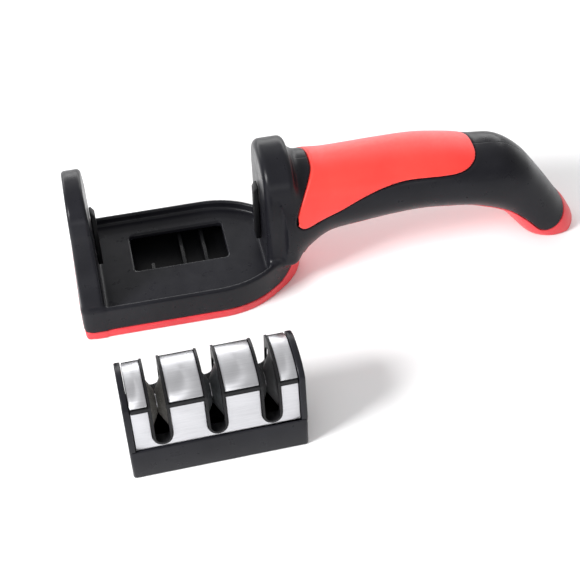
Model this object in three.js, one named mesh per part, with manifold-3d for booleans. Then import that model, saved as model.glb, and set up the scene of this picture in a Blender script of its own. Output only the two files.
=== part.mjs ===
// A hand-held pull-through edge sharpener. A long body has a cradle between two ears, and a removable
// cartridge with three sharpening slots stands on the table in front of it.
// Millimetres, +Z up. X runs along the tool from its blunt end to its tail, and the cartridge is at -Y.
// The origin is on the table under the middle of the cradle.
import * as THREE from 'three';
import { mergeVertices } from 'three/addons/utils/BufferGeometryUtils.js';
import Module from 'manifold-3d';

const wasm = await Module();
wasm.setup();

// ---- driving dimensions -------------------------------------------------------------------------
const GAP = 0.3;                    // clearance between pieces that touch

// body
const BLUNT_END = -44.3;            // outer face of the blunt end
const CRADLE_HALF = 35;             // half the clear length between the two ears
const BASE_HALF = 28.6;             // half width of the base at its rim
const BASE_DRAFT = 0.03;            // the base is this much narrower at the table
const RIM_Z = 16.8;
const DECK_Z = 13.2;
const DECK_THICK = 2.7;
const RIM_WALL = 2;
const SIDE_WALL = 3;
const NOSE_X = 51;                  // where the base's footprint closes under the neck
const EAR_TOP = 61.5;               // free ear
const HEAD_TOP = 63.5;              // ear that joins the neck
const EAR_LEAN = 0.9;               // each face of the free ear leans in by this much above the rail
const EAR_HALF = 17.5;              // half width of an ear at the height of its shoulders
const EAR_SHOULDER = 47;
const HEAD_BACK = 48;               // back of the ear that joins the neck
const PART_LINE_Z = 4;              // top of the red shell around the base
const FLOOR_THICK = 1.8;            // floor of the red shell
const PAN_TOP = 3.9;

// opening in the deck
const OPENING_HALF_X = 20;
const OPENING_Y = 6;
const OPENING_HALF_Y = 11;
const RIBS = [[-12, 2], [1.5, 19], [11, 19]];   // place along the deck, and how far back each one reaches
const RIB_THICK = 1.6;
const RIB_TOP = 9.5;

// guide rails on the ears
const RAIL_PROUD = 2.4;
const RAIL_WIDE = 5;
const RAIL_FOOT = 17.6;
const RAIL_TOP = 46;

// handle: place of each section's centre, how far it tips down, half width and half height
const HANDLE = [
  [38, 30.2, 0, 17.5, 28.0],
  [46, 31.5, 1, 17.5, 25.6],
  [50, 33.2, 3, 17.3, 23.2],
  [55, 35.4, 4.7, 17.1, 20.4],
  [59.3, 37.3, 1.7, 17.0, 17.9],
  [64.3, 38.2, 0.1, 16.9, 16.4],
  [73.9, 38.9, 0, 17.0, 15.5],
  [87.8, 39.8, 1.0, 17.0, 14.6],
  [101.9, 40.0, 4.1, 17.0, 14.0],
  [114.0, 38.4, 8.1, 16.8, 13.7],
  [125.1, 36.2, 12.2, 16.5, 13.4],
  [134.1, 34.0, 20.3, 16.0, 14.7],
  [141.4, 29.4, 35.6, 15.3, 13.5],
  [147.9, 23.1, 45.6, 14.5, 11.7],
  [154.2, 14.8, 48.9, 13.9, 11.1],
  [159.6, 7.4, 48.8, 13.4, 10.6],
  [164.5, 2.7, 48.9, 12.6, 9.5],
  [167.4, -0.7, 48.9, 11.4, 8.5],
];
const TIP = [169.4, -3.0];          // where the tail's rounded end closes
const HANDLE_SQUARENESS = 2.35;
const HANDLE_SIDES = 20;
const HANDLE_STEPS = 30;
const HANDLE_WALL = 3.4;
const HOLLOW_FROM = 66;
const HOLLOW_TO = 128;

// height of the line between the black and the red shell, along the neck, handle and tail
const PART_LINE = [
  [34, 4], [40, 4.6], [44, 7], [47, 10.4], [50, 14], [54, 18.4], [59, 22.6], [64, 25.6], [74, 28], [88, 29.6],
  [102, 30.2],
  [114, 28.8], [125, 26.4], [131, 24.2], [137, 21.4], [141.5, 19.2], [146.2, 15.7], [151.1, 11.2], [155.3, 6.4],
  [158, 4.6], [161, 4.9], [164, 6.6], [167, 9.4], [169.5, 12], [175, 15], [180, 16],
];

// grip inlay: its outline seen from the side, from the front top corner down and round to the back
const GRIP_OUTLINE = [
  [57.2, 64], [57, 56.4], [54.4, 52.8], [52, 49.2], [49.3, 44.1], [47.8, 39.4], [47.9, 36], [50.2, 33.6],
  [53.4, 33.9], [57.2, 35.5], [65.7, 38.9], [74.2, 43.2], [82.7, 46.2], [91.3, 47.8], [98, 48], [104, 47.6],
  [111.8, 46.8], [117, 46.6], [121, 47.1], [125, 48.4], [126.8, 50], [127.3, 54], [127.3, 64],
];
const GRIP_THICK = 1.6;

// cartridge, in its own frame: X along its length, origin on the table under its middle
const CARTRIDGE_PLACE = [-0.8, -87, 0];
const CARTRIDGE_TURN = 1.2;         // degrees about Z
const LENGTH = 67.8;
const HALF_DEPTH = 15;
const BASE_TOP = 14.6;
const KINK_Y = 12.5;                // where the lower plate meets the curved panel
const KINK_Z = 35.4;
const CREST_Z = 40;
const SHOULDER_BACK = 4;            // how quickly the curved panels turn over to the crest
const SLOT_PITCH = 20.7;
const SLOT_WIDE = 5.6;
const METAL_GAP = 8;                // from steel to steel across a slot
const SLOT_FLOOR = 17.4;
const CHEEK_THICK = 2.4;
const STEEL_THICK = 0.8;
const BAND_TALL = 1.9;              // black band between the lower plate and the curved panels
const BAND_INSET = 0.2;
const FIN_PROUD = 0.9;              // how far the black fins stand above the steel
const TRAY_WALL = 2;
const GROOVE_WIDE = 6.2;            // groove in each cheek for a guide rail
const GROOVE_DEEP = 2.1;

// wheels and axle inside the cartridge
const AXLE_Z = 24;
const AXLE_RADIUS = 1.6;
const SLEEVE_INNER = 2.1;
const SLEEVE_RADIUS = 3.1;
const WHEEL_BORE = 3.5;
const WHEEL_VALLEY = 4.4;           // radius at the bottom of the V
const WHEEL_RIM = 11;
const WHEEL_CONE = 4.0;             // length of each cone along the axle
const WHEEL_LAND = 0.9;             // straight rim beyond the cone
const POCKET_RADIUS = 12.3;
const POCKET_HALF = 5.6;
const CARRIER_WALL = 2;
const BEARING_REACH = 6.8;          // from a slot's middle to the plates that hold the axle

// screws
const SCREW_HEAD = 2.6;
const SCREW_SHANK = 1.2;

// ---- materials ----------------------------------------------------------------------------------
const material = (color, roughness, metalness = 0) =>
  new THREE.MeshStandardMaterial({ color, roughness, metalness });
const blackPlastic = material(0x2b2b30, 0.45);
const deepBlack = material(0x17171a, 0.5);
const redPlastic = material(0xe0404a, 0.5);
const redRubber = material(0xff463c, 0.65);
const steel = material(0xc4c2c4, 0.3, 1);
const screwSteel = material(0x8f9094, 0.35, 1);
const diamond = material(0x6d6a66, 0.8);
const carbide = material(0x55585c, 0.7);
const ceramic = material(0xe9e6df, 0.6);

// ---- solids -------------------------------------------------------------------------------------
// A closed geometry as a solid that can be joined and cut.
function solidOf(geometry) {
  let bare = geometry.clone();
  bare.deleteAttribute('normal');
  bare.deleteAttribute('uv');
  bare = mergeVertices(bare, 1e-4);
  return new wasm.Manifold(new wasm.Mesh({
    numProp: 3,
    vertProperties: new Float32Array(bare.attributes.position.array),
    triVerts: new Uint32Array(bare.index.array),
  }));
}

// The surface of a solid as a geometry.
function geometryOf(solid) {
  const mesh = solid.getMesh();
  const geometry = new THREE.BufferGeometry();
  geometry.setAttribute('position', new THREE.BufferAttribute(new Float32Array(mesh.vertProperties), 3));
  geometry.setIndex(new THREE.BufferAttribute(new Uint32Array(mesh.triVerts), 1));
  geometry.computeVertexNormals();
  return geometry;
}

const joined = (solids) => solids.reduce((sum, solid) => sum.add(solid));
const box = (x0, x1, y0, y1, z0, z1) =>
  solidOf(new THREE.BoxGeometry(x1 - x0, y1 - y0, z1 - z0)
    .translate((x0 + x1) / 2, (y0 + y1) / 2, (z0 + z1) / 2));
const postAt = (x, y, z0, z1, radius, sides = 12) =>
  solidOf(new THREE.CylinderGeometry(radius, radius, z1 - z0, sides)
    .rotateX(Math.PI / 2).translate(x, y, (z0 + z1) / 2));

// A closed shape drawn through a list of points, smooth or with corners.
function outline(points, smooth = 0) {
  const flat = points.map(([u, v]) => new THREE.Vector2(u, v));
  if (!smooth) return new THREE.Shape(flat);
  return new THREE.Shape(new THREE.SplineCurve(flat).getPoints(smooth));
}

// Drawn in plan and raised from z0 to z1.
const raisedGeometry = (shape, z0, z1) =>
  new THREE.ExtrudeGeometry(shape, { depth: z1 - z0, bevelEnabled: false, curveSegments: 7 }).translate(0, 0, z0);
const raised = (shape, z0, z1) => solidOf(raisedGeometry(shape, z0, z1));

// The same, but a little narrower towards the table.
function drafted(shape, z0, z1) {
  const geometry = raisedGeometry(shape, z0, z1);
  const position = geometry.attributes.position;
  for (let i = 0; i < position.count; i += 1) {
    position.setY(i, position.getY(i) * (1 - BASE_DRAFT * (1 - position.getZ(i) / RIM_Z)));
  }
  return solidOf(geometry);
}

// Drawn from the side as (x, z) and run across the object from y0 to y1.
const across = (shape, y0, y1) =>
  solidOf(new THREE.ExtrudeGeometry(shape, { depth: y1 - y0, bevelEnabled: false, curveSegments: 7 })
    .rotateX(Math.PI / 2).translate(0, y1, 0));

// Drawn from the end as (y, z) and run along the object from x0 to x1, with its edges eased by bevel.
function along(shape, x0, x1, bevel = 0) {
  const geometry = new THREE.ExtrudeGeometry(shape, {
    depth: x1 - x0 - 2 * bevel,
    bevelEnabled: bevel > 0,
    bevelThickness: bevel,
    bevelSize: bevel,
    bevelOffset: -bevel,
    bevelSegments: 2,
  });
  const turn = new THREE.Matrix4().makeBasis(
    new THREE.Vector3(0, 1, 0), new THREE.Vector3(0, 0, 1), new THREE.Vector3(1, 0, 0));
  return solidOf(geometry.applyMatrix4(turn).translate(x0 + bevel, 0, 0));
}

const mirroredPoints = (points) =>
  [...points, ...points.map(([u, v]) => [-u, v]).reverse().filter(([u]) => u !== 0)];

// ---- body ---------------------------------------------------------------------------------------
// Plan of the base, drawn in by inset: straight sides that sweep in to a rounded nose under the neck.
function basePlan(inset = 0, nose = NOSE_X) {
  const left = BLUNT_END + inset;
  const side = BASE_HALF - inset;
  const tip = nose - inset;
  const corner = 5;
  const shape = new THREE.Shape();
  shape.moveTo(left + corner, -side);
  shape.lineTo(12, -side);
  const cheek = 17.4 - inset;       // half width where the sweep turns into the nose
  shape.bezierCurveTo(24, -side, 32, -cheek - 6, 40, -cheek);
  shape.bezierCurveTo(46.5, -cheek + 5, tip, -6, tip, 0);
  shape.bezierCurveTo(tip, 6, 46.5, cheek - 5, 40, cheek);
  shape.bezierCurveTo(32, cheek + 6, 24, side, 12, side);
  shape.lineTo(left + corner, side);
  shape.quadraticCurveTo(left, side, left, side - corner);
  shape.lineTo(left, -side + corner);
  shape.quadraticCurveTo(left, -side, left + corner, -side);
  return shape;
}

// The end view of an ear: its edges lean in from foot to shoulder and close in an arch.
function earShape(footHalf, foot, top) {
  const shape = new THREE.Shape();
  shape.moveTo(-footHalf, foot);
  shape.lineTo(-footHalf, RIM_Z - 1);
  shape.bezierCurveTo(-footHalf + 2, RIM_Z + 10, -EAR_HALF, EAR_SHOULDER - 14, -EAR_HALF, EAR_SHOULDER);
  shape.bezierCurveTo(-EAR_HALF, top - 5, -EAR_HALF * 0.62, top, 0, top);
  shape.bezierCurveTo(EAR_HALF * 0.62, top, EAR_HALF, top - 5, EAR_HALF, EAR_SHOULDER);
  shape.bezierCurveTo(EAR_HALF, EAR_SHOULDER - 14, footHalf - 2, RIM_Z + 10, footHalf, RIM_Z - 1);
  shape.lineTo(footHalf, foot);
  shape.closePath();
  return shape;
}

// One value of the handle table at a station between 0 and 1, smooth through the rows.
const handleCurves = [0, 1, 2, 3, 4].map((column) => new THREE.SplineCurve(
  HANDLE.map((row, i) => new THREE.Vector2(i / (HANDLE.length - 1), row[column]))));
const handleAt = (t) => handleCurves.map((curve) => curve.getPoint(t).y);

// The handle is a cylinder whose rings are moved to the sections, with rounded corners and a closed tip.
function handleSolid(thinner, from, to, sides, steps) {
  const geometry = new THREE.CylinderGeometry(1, 1, 1, sides, steps);
  const position = geometry.attributes.position;
  const power = 2 / HANDLE_SQUARENESS;
  const squared = (value) => Math.sign(value) * Math.abs(value) ** power;
  for (let i = 0; i < position.count; i += 1) {
    const sideways = -position.getX(i);
    const up = position.getZ(i);
    const t = from + (to - from) * (position.getY(i) + 0.5);
    const [x, z, tip, halfWidth, halfHeight] = handleAt(t);
    const angle = THREE.MathUtils.degToRad(tip);
    const radius = Math.hypot(sideways, up);
    const side = radius ? squared(sideways / radius) * radius * (halfWidth - thinner) : 0;
    const lift = radius ? squared(up / radius) * radius * (halfHeight - thinner) : 0;
    const atTip = radius === 0 && to === 1 && position.getY(i) > 0;
    position.setXYZ(i,
      atTip ? TIP[0] : x + lift * Math.sin(angle),
      side,
      atTip ? TIP[1] : z + lift * Math.cos(angle));
  }
  return solidOf(geometry);
}

// Fraction of the handle table at which the centre line passes x.
function stationOf(x) {
  let low = 0;
  let high = 1;
  for (let i = 0; i < 30; i += 1) {
    const middle = (low + high) / 2;
    if (handleAt(middle)[0] < x) low = middle;
    else high = middle;
  }
  return low;
}

// Everything below the parting line, as a slab that runs right across the tool.
function belowPartLine(drop) {
  const line = new THREE.SplineCurve(PART_LINE.map(([x, z]) => new THREE.Vector2(x, z - drop)));
  const top = line.getPoints(30).map((p) => [p.x, p.y]);
  return across(outline([[-60, -5], [-60, PART_LINE_Z - drop], ...top, [190, top.at(-1)[1]], [190, -5]].reverse()),
    -60, 60);
}

const gripRegion = (grow) => {
  const points = outline(GRIP_OUTLINE, 36).getPoints();
  const middle = new THREE.Vector2(90, 52);
  const grown = points.map((p) => {
    const away = p.clone().sub(middle).normalize().multiplyScalar(grow);
    return [p.x + away.x, p.y + away.y];
  });
  return across(outline(grown), -40, 40);
};

const aboveTable = box(-100, 220, -60, 60, 0, 120);
const head = along(earShape(EAR_HALF, DECK_Z, HEAD_TOP), CRADLE_HALF, HEAD_BACK, 2);
const bladeSide = outline([[BLUNT_END, 0], [-CRADLE_HALF, 0], [-CRADLE_HALF, RAIL_TOP],
  [-CRADLE_HALF - EAR_LEAN, EAR_TOP + 1], [BLUNT_END + EAR_LEAN, EAR_TOP + 1], [BLUNT_END, RIM_Z]]);
const blade = along(earShape(BASE_HALF - 0.8, 6, EAR_TOP), BLUNT_END, -CRADLE_HALF, 1.6)
  .intersect(across(bladeSide, -BASE_HALF, BASE_HALF));
const handle = handleSolid(0, 0, 1, HANDLE_SIDES, HANDLE_STEPS);
const baseBlock = drafted(basePlan(), 0, RIM_Z);
const outerBody = joined([baseBlock, blade, head, handle]).intersect(aboveTable);

// the sunk deck, the cavity under it and the opening between them
const recess = raised(basePlan(RIM_WALL, NOSE_X + 20), DECK_Z, RIM_Z + 5)
  .intersect(box(-CRADLE_HALF, CRADLE_HALF, -40, 40, 0, 40));
const cavity = drafted(basePlan(SIDE_WALL), -1, DECK_Z - DECK_THICK);
const opening = box(-OPENING_HALF_X, OPENING_HALF_X, OPENING_Y - OPENING_HALF_Y, OPENING_Y + OPENING_HALF_Y,
  PAN_TOP, DECK_Z + 5);
const handleHollow = handleSolid(HANDLE_WALL, stationOf(HOLLOW_FROM), stationOf(HOLLOW_TO), 16, 10);
const hollowBody = outerBody.subtract(recess).subtract(cavity).subtract(opening).subtract(handleHollow);

// screw bosses hang from the deck
const BASE_SCREWS = [[-36, -19], [-36, 19], [26, -17], [26, 17]];
const boss = ([x, y]) => postAt(x, y, PAN_TOP + GAP + 0.4, DECK_Z - DECK_THICK + 1, 3.2)
  .subtract(postAt(x, y, 0, DECK_Z - DECK_THICK - 1, SCREW_SHANK + GAP));
const HANDLE_SCREWS = [84, 116];
const handleBottom = (x) => {
  const [, z, , , halfHeight] = handleAt(stationOf(x));
  return z - halfHeight;
};
const handleBoss = (x) => postAt(x, 0, handleBottom(x) + 6, 56, 3.2, 12)
  .subtract(postAt(x, 0, 0, 46, SCREW_SHANK + GAP, 12)).intersect(outerBody);

const gripSolid = handle.intersect(gripRegion(0))
  .subtract(handleSolid(GRIP_THICK, 0, 1, HANDLE_SIDES, HANDLE_STEPS));
const gripGroove = gripRegion(GAP).subtract(handleSolid(GRIP_THICK + GAP, 0, 1, HANDLE_SIDES, HANDLE_STEPS));

function railAt(side) {
  const ends = [side * (CRADLE_HALF - GAP), side * (CRADLE_HALF - GAP - RAIL_PROUD)];
  return box(Math.min(...ends), Math.max(...ends), -RAIL_WIDE / 2, RAIL_WIDE / 2, RAIL_FOOT, RAIL_TOP);
}

const upperShell = joined([hollowBody, ...BASE_SCREWS.map(boss), ...HANDLE_SCREWS.map(handleBoss)])
  .subtract(belowPartLine(-GAP)).subtract(gripGroove);

const redBlank = outerBody.intersect(belowPartLine(0))
  .subtract(drafted(basePlan(SIDE_WALL), FLOOR_THICK, PART_LINE_Z + 1)
    .intersect(box(-60, 40, -40, 40, 0, 20)));
const lowerShell = redBlank
  .subtract(joined(BASE_SCREWS.map(([x, y]) => postAt(x, y, -1, 5, SCREW_HEAD + GAP))))
  .subtract(joined(HANDLE_SCREWS.map((x) => postAt(x, 0, 0, handleBottom(x) + 8, SCREW_HEAD + GAP))));

const basePan = joined([
  drafted(basePlan(SIDE_WALL + GAP), FLOOR_THICK + GAP, PAN_TOP).intersect(box(-60, 39, -40, 40, 0, 20)),
  ...RIBS.map(([x, back]) => box(x - RIB_THICK / 2, x + RIB_THICK / 2, OPENING_Y - OPENING_HALF_Y - 2, back,
    PAN_TOP - 1, RIB_TOP)),
]).subtract(joined(BASE_SCREWS.map(([x, y]) => postAt(x, y, -1, 5, SCREW_HEAD + GAP))));

// A countersunk screw with its head down, as a lathed profile round its own axis.
function screwAt(x, y, z, length) {
  const profile = [[0, 0], [SCREW_HEAD, 0], [SCREW_HEAD, 0.9], [SCREW_SHANK, 2.1], [SCREW_SHANK, length], [0, length]];
  const turned = solidOf(new THREE.LatheGeometry(profile.map(([r, h]) => new THREE.Vector2(r, h)), 12)
    .rotateX(Math.PI / 2).translate(x, y, z));
  const reach = 1.5;                // half length of the driver's cross
  const half = 0.35;
  return turned.subtract(joined([
    box(x - reach, x + reach, y - half, y + half, z - 1, z + 0.7),
    box(x - half, x + half, y - reach, y + reach, z - 1, z + 0.7),
  ]));
}

const pieces = [];
const piece = (name, solid, look, parent) => {
  const mesh = new THREE.Mesh(geometryOf(solid), look);
  mesh.name = name;
  pieces.push(mesh);
  parent.add(mesh);
};

const tool = new THREE.Group();
piece('upper_shell', upperShell, blackPlastic, tool);
piece('lower_shell', lowerShell, redPlastic, tool);
piece('grip_inlay', gripSolid, redRubber, tool);
piece('base_pan', basePan, deepBlack, tool);
piece('guide_rail_left', railAt(-1), deepBlack, tool);
piece('guide_rail_right', railAt(1), deepBlack, tool);
BASE_SCREWS.forEach(([x, y], i) =>
  piece(`base_screw_${i + 1}`, screwAt(x, y, 0.5, 8), screwSteel, tool));
HANDLE_SCREWS.forEach((x, i) =>
  piece(`handle_screw_${i + 1}`, screwAt(x, 0, handleBottom(x) + 1.2, 14), screwSteel, tool));

// ---- cartridge ----------------------------------------------------------------------------------
const HALF_LENGTH = LENGTH / 2;
const SLOTS = [-SLOT_PITCH, 0, SLOT_PITCH];
const STAGES = ['coarse', 'medium', 'fine'];

// End view of the cartridge, drawn in by inset above floor: leaning plate, kink, then a curve to the crest.
function hood(inset, x0, x1, floor = BASE_TOP) {
  const lean = (HALF_DEPTH - KINK_Y) / (KINK_Z - BASE_TOP);
  const foot = [HALF_DEPTH - lean * Math.max(floor - BASE_TOP, 0) - inset, floor];
  const knee = [HALF_DEPTH - inset, BASE_TOP];
  const kink = [KINK_Y - inset, KINK_Z];
  const arc = new THREE.QuadraticBezierCurve(
    new THREE.Vector2(...kink),
    new THREE.Vector2(kink[0] - SHOULDER_BACK, CREST_Z - inset),
    new THREE.Vector2(0, CREST_Z - inset)).getPoints(9);
  const side = [foot, ...(floor < BASE_TOP ? [knee] : []), ...arc.map((p) => [p.x, p.y])];
  return along(outline(mirroredPoints(side)), x0, x1);
}

// Slot through the hood from front to back, open at the top, with a round floor.
function slotCut(x, wide, floor) {
  const half = wide / 2;
  const shape = new THREE.Shape();
  shape.moveTo(x - half, floor + half);
  shape.absarc(x, floor + half, half, Math.PI, 2 * Math.PI, false);
  shape.lineTo(x + half, CREST_Z + 10);
  shape.lineTo(x - half, CREST_Z + 10);
  shape.closePath();
  return across(shape, -HALF_DEPTH - 5, HALF_DEPTH + 5);
}

const roller = (x0, x1, radius, sides = 32) =>
  solidOf(new THREE.CylinderGeometry(radius, radius, x1 - x0, sides)
    .rotateZ(Math.PI / 2).translate((x0 + x1) / 2, 0, AXLE_Z));

const cheekInner = HALF_LENGTH - CHEEK_THICK;
const coreHalf = cheekInner - GAP;
const steelSeat = FIN_PROUD + STEEL_THICK + GAP;

// core that carries the steel, with a fin on each side of every slot
const finFloor = SLOT_FLOOR - (METAL_GAP - SLOT_WIDE) / 2 + GAP;
const finRing = (x) => hood(0, x - METAL_GAP / 2 + GAP, x + METAL_GAP / 2 - GAP)
  .intersect(slotCut(x, METAL_GAP - 2 * GAP, finFloor));
const band = hood(BAND_INSET, -coreHalf + BAND_INSET, coreHalf - BAND_INSET)
  .subtract(hood(steelSeat + 1, -HALF_LENGTH, HALF_LENGTH))
  .intersect(box(-coreHalf, coreHalf, -HALF_DEPTH, HALF_DEPTH, KINK_Z - BAND_TALL, KINK_Z - GAP));
const carrierFloor = BASE_TOP + GAP;
const carrier = hood(steelSeat, -coreHalf, coreHalf, carrierFloor)
  .subtract(hood(steelSeat + CARRIER_WALL, -coreHalf + CARRIER_WALL, coreHalf - CARRIER_WALL, 0));
const bearingPlate = (x) => hood(steelSeat + 0.5, x - CARRIER_WALL / 2, x + CARRIER_WALL / 2, carrierFloor);
const bearingPlates = SLOTS.flatMap((x) => [-1, 1].map((side) => bearingPlate(x + side * BEARING_REACH)));
const frame = joined([carrier, band, ...bearingPlates, ...SLOTS.map(finRing)])
  .subtract(joined(SLOTS.map((x) => slotCut(x, SLOT_WIDE, SLOT_FLOOR))))
  .subtract(joined(SLOTS.map((x) => roller(x - POCKET_HALF, x + POCKET_HALF, POCKET_RADIUS, 24))))
  .subtract(roller(-HALF_LENGTH, HALF_LENGTH, AXLE_RADIUS + GAP, 14));

const steelPanel = (x0, x1) => hood(FIN_PROUD, x0, x1).subtract(hood(FIN_PROUD + STEEL_THICK, x0 - 1, x1 + 1))
  .intersect(box(x0, x1, -HALF_DEPTH, HALF_DEPTH, KINK_Z, CREST_Z));
const panelEdges = [-coreHalf, ...SLOTS.flatMap((x) => [x - METAL_GAP / 2, x + METAL_GAP / 2]), coreHalf];

const lowerPlate = (side) => hood(FIN_PROUD, -coreHalf, coreHalf)
  .subtract(hood(FIN_PROUD + STEEL_THICK, -HALF_LENGTH, HALF_LENGTH, 0))
  .intersect(box(-coreHalf, coreHalf, side > 0 ? 0 : -HALF_DEPTH, side > 0 ? HALF_DEPTH : 0,
    BASE_TOP + GAP, KINK_Z - BAND_TALL - GAP))
  .subtract(joined(SLOTS.map((x) => slotCut(x, METAL_GAP, finFloor - GAP))));

const tray = box(-HALF_LENGTH, HALF_LENGTH, -HALF_DEPTH, HALF_DEPTH, 0, BASE_TOP)
  .subtract(box(-cheekInner, cheekInner, -HALF_DEPTH + TRAY_WALL, HALF_DEPTH - TRAY_WALL, TRAY_WALL, BASE_TOP + 5));
const groove = (side) => box(side > 0 ? HALF_LENGTH - GROOVE_DEEP : -HALF_LENGTH - 1,
  side > 0 ? HALF_LENGTH + 1 : -HALF_LENGTH + GROOVE_DEEP,
  -GROOVE_WIDE / 2, GROOVE_WIDE / 2, -1, RAIL_TOP - DECK_Z + 2);
const cheek = (side) => hood(0, side > 0 ? cheekInner : -HALF_LENGTH, side > 0 ? HALF_LENGTH : -cheekInner,
  BASE_TOP + GAP)
  .subtract(groove(side));

const cartridge = new THREE.Group();
cartridge.position.set(...CARTRIDGE_PLACE);
cartridge.rotation.z = THREE.MathUtils.degToRad(CARTRIDGE_TURN);
tool.add(cartridge);
piece('cartridge_tray', tray.subtract(groove(1)).subtract(groove(-1)), blackPlastic, cartridge);
piece('cartridge_frame', frame, deepBlack, cartridge);
piece('end_cheek_left', cheek(-1), blackPlastic, cartridge);
piece('end_cheek_right', cheek(1), blackPlastic, cartridge);
for (let i = 0; i < 4; i += 1) {
  piece(`curved_panel_${i + 1}`, steelPanel(panelEdges[2 * i], panelEdges[2 * i + 1]), steel, cartridge);
}
piece('front_plate', lowerPlate(-1), steel, cartridge);
piece('back_plate', lowerPlate(1), steel, cartridge);
piece('wheel_axle', roller(-cheekInner + GAP, cheekInner - GAP, AXLE_RADIUS, 14), screwSteel, cartridge);

// Two coned wheels face each other on a sleeve, and their cones make the V that sharpens.
function wheel(x, side) {
  const profile = [
    [WHEEL_BORE, GAP / 2], [WHEEL_VALLEY, GAP / 2], [WHEEL_RIM, WHEEL_CONE],
    [WHEEL_RIM, WHEEL_CONE + WHEEL_LAND], [WHEEL_BORE, WHEEL_CONE + WHEEL_LAND], [WHEEL_BORE, GAP / 2],
  ];
  return solidOf(new THREE.LatheGeometry(profile.map(([r, h]) => new THREE.Vector2(r, h)), 24)
    .rotateZ(-side * Math.PI / 2).translate(x, 0, AXLE_Z));
}
STAGES.forEach((stage, i) => {
  const look = [diamond, carbide, ceramic][i];
  piece(`${stage}_wheel_left`, wheel(SLOTS[i], -1), look, cartridge);
  piece(`${stage}_wheel_right`, wheel(SLOTS[i], 1), look, cartridge);
  const reach = WHEEL_CONE + WHEEL_LAND + 0.4;
  piece(`${stage}_wheel_sleeve`, roller(SLOTS[i] - reach, SLOTS[i] + reach, SLEEVE_RADIUS, 20)
    .subtract(roller(SLOTS[i] - 9, SLOTS[i] + 9, SLEEVE_INNER, 20)), screwSteel, cartridge);
});

export default tool;
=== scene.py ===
"""The looks of a hand-held pull-through edge sharpener and its cartridge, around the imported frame.

Shapes are worked out in millimetres in the frame's own axes and scaled to metres when a mesh is made.
The body, sole and grip are drawn as distance fields, which give moulded parts their fillets. The
cartridge is drawn as plates and turned parts.
"""
import math

import bmesh
import bpy
import numpy as np
from mathutils import Matrix


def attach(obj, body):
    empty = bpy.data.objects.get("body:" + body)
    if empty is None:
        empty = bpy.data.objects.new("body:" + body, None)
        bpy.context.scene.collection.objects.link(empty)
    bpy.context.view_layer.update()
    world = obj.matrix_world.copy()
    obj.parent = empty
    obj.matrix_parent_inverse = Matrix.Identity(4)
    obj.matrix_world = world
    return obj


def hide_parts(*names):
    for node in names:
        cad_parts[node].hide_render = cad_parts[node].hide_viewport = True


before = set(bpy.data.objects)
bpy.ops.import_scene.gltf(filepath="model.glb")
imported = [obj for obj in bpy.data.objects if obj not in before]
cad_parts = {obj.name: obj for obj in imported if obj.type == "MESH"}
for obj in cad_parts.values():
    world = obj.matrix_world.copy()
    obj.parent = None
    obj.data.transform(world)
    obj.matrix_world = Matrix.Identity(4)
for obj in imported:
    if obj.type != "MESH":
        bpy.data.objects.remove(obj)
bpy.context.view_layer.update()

MM = 0.001

# ---- dimensions, in millimetres --------------------------------------------------------------------
GAP = 0.3
BLUNT_END = -44.3
CRADLE_HALF = 35
BASE_HALF = 28.6
BASE_DRAFT = 0.03
RIM_Z = 16.8
DECK_Z = 13.2
DECK_THICK = 2.7
RIM_WALL = 2
SIDE_WALL = 3
NOSE_X = 51
EAR_TOP = 61.5
HEAD_TOP = 63.5
EAR_LEAN = 0.9
EAR_HALF = 17.5
EAR_SHOULDER = 47
HEAD_BACK = 48
PART_LINE_Z = 4
FLOOR_THICK = 1.8
PAN_TOP = 3.9
TONGUE_Z = 3                # the black shell's inner edge reaches down behind the red one's
OPENING_HALF_X = 20
OPENING_Y = 6
OPENING_HALF_Y = 11
RIBS = [(-12, 2), (1.5, 19), (11, 19)]     # place along the deck, and how far back each one reaches
RIB_THICK = 1.6
RIB_TOP = 9.5
RAIL_PROUD = 2.4
RAIL_WIDE = 5
RAIL_FOOT = 17.6
RAIL_TOP = 46

# each section of the handle: centre x and z, tip in degrees, half width, half height
HANDLE = [
    (38, 30.2, 0, 17.8, 28.0), (46, 31.2, 1, 18.4, 26.0), (50, 32.6, 3, 18.3, 23.9),
    (55, 34.9, 4.5, 17.6, 21.0),
    (59.3, 37.0, 2.2, 17.1, 18.3), (64.3, 38.2, 0.1, 16.9, 16.4), (73.9, 38.9, 0, 17.0, 15.5),
    (87.8, 39.8, 1.0, 17.0, 14.6), (101.9, 40.0, 4.1, 17.0, 14.0), (114.0, 38.4, 8.1, 16.8, 13.7),
    (125.1, 36.2, 12.2, 16.5, 13.4), (134.1, 34.0, 20.3, 16.0, 14.7), (141.4, 29.4, 35.6, 15.3, 13.5),
    (147.9, 23.1, 45.6, 14.5, 11.7), (154.2, 14.8, 48.9, 13.9, 11.1), (159.6, 7.4, 48.8, 13.4, 10.6),
    (164.5, 2.7, 48.9, 12.6, 9.5), (167.4, -0.7, 48.9, 11.4, 8.5),
]
HANDLE_SQUARENESS = 2.35
BLADE_FOOT = 27.6           # half width of the free ear where it meets the base
HANDLE_START = 44
TAIL_CAP = 3.2
PART_LINE = [
    (34, 4), (40, 4.6), (44, 7), (47, 10.4), (50, 14), (54, 18.4), (59, 22.6), (64, 25.6), (74, 28),
    (88, 29.6), (102, 30.2), (114, 28.8), (125, 26.4), (131, 24.2), (137, 21.4), (141.5, 19.2), (146.2, 15.7),
    (151.1, 11.2), (155.3, 6.4), (158, 4.6), (161, 4.9),
    (164, 6.6), (167, 9.4), (169.5, 12), (175, 15), (180, 16),
]
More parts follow.
